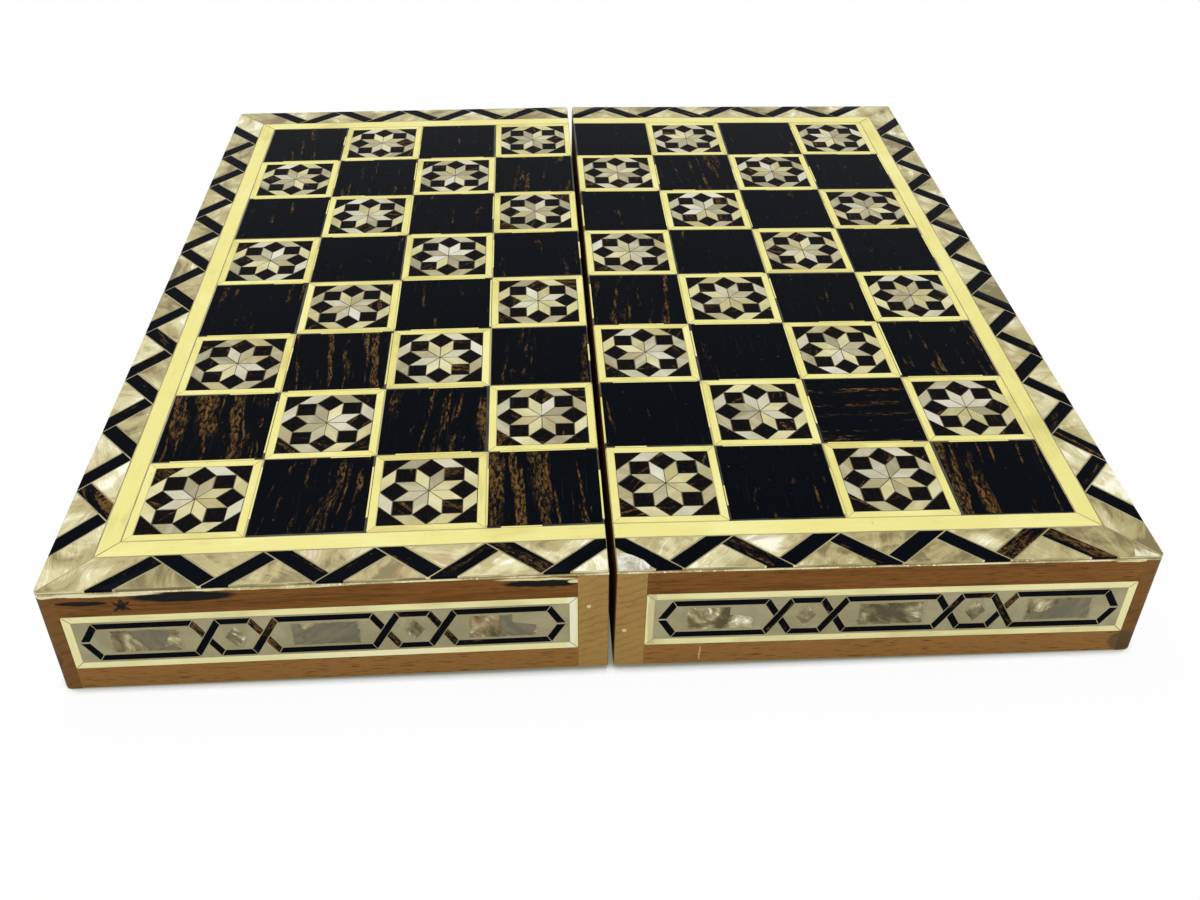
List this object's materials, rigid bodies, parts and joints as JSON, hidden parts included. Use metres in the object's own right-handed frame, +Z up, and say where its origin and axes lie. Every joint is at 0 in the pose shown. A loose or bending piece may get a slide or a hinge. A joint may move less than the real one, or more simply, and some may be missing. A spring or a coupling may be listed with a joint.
{
  "type": "folding chess and backgammon board",
  "caption": "Folding wooden box board with inlaid star and plain squares for chess outside, backgammon points inside, hinged along its middle and latched with a hook.",
  "frame": {"origin": "on the table under the middle of the hinge line, with the board opened and its chess side up", "axes": "X across the hinge line, with the half that carries the catch at +X; Y along the hinge line; Z up, out of the chess side"},
  "size_m": [0.3024, 0.2956, 0.038],
  "materials": {
    "beech": "old oiled beech, worn at the edges",
    "ebony": "polished streaky ebony",
    "cream_wood": "polished pale boxwood",
    "pearl": "polished mother-of-pearl",
    "putty": "dull filler",
    "bone": "smooth bone-coloured filler",
    "walnut": "polished walnut veneer",
    "brass": "old brass"
  },
  "bodies": {
    "left_half": {"left_outer_wall": "beech", "left_hinge_wall": "beech", "left_front_wall": "beech", "left_back_wall": "beech", "left_base_panel": "beech", "left_inlay_bed": "putty", "left_ebony_squares": "ebony", "left_star_frames": "cream_wood", "left_star_points": "pearl", "left_star_squares": "ebony", "left_star_rims": "pearl", "left_star_corners": "ebony", "left_field_band": "cream_wood", "left_border_strips": "ebony", "left_border_pearls": "pearl", "left_wall_bands": "cream_wood", "left_wall_fields": "bone", "left_wall_strips": "ebony", "left_wall_plaques": "pearl", "left_tray_ground": "walnut", "left_dark_points": "ebony", "left_light_points": "cream_wood", "left_tray_lines": "cream_wood", "left_wall_pins": "cream_wood", "left_hinge_leaves": "brass", "left_hinge_screws": "brass", "hinge_pins": "brass", "latch_pivot": "brass"},
    "right_half": {"right_outer_wall": "beech", "right_hinge_wall": "beech", "right_front_wall": "beech", "right_back_wall": "beech", "right_base_panel": "beech", "right_inlay_bed": "putty", "right_ebony_squares": "ebony", "right_star_frames": "cream_wood", "right_star_points": "pearl", "right_star_squares": "ebony", "right_star_rims": "pearl", "right_star_corners": "ebony", "right_field_band": "cream_wood", "right_border_strips": "ebony", "right_border_pearls": "pearl", "right_wall_bands": "cream_wood", "right_wall_fields": "bone", "right_wall_strips": "ebony", "right_wall_plaques": "pearl", "right_tray_ground": "walnut", "right_dark_points": "ebony", "right_light_points": "cream_wood", "right_tray_lines": "cream_wood", "right_wall_pins": "cream_wood", "right_hinge_leaves": "brass", "right_hinge_screws": "brass", "latch_catch": "brass"},
    "hook": {"latch_hook": "brass"}
  },
  "joints": [
    {"name": "fold", "type": "hinge", "parent": "left_half", "child": "right_half", "pos_m": [0, 0, 0.00125], "axis": [0, 1, 0], "range_deg": [0, 178.92]},
    {"name": "latch_swing", "type": "hinge", "parent": "left_half", "child": "hook", "pos_m": [-0.14933, 0, 0.00419], "axis": [-1, 0, -0.0094], "range_deg": [0, 90]}
  ]
}
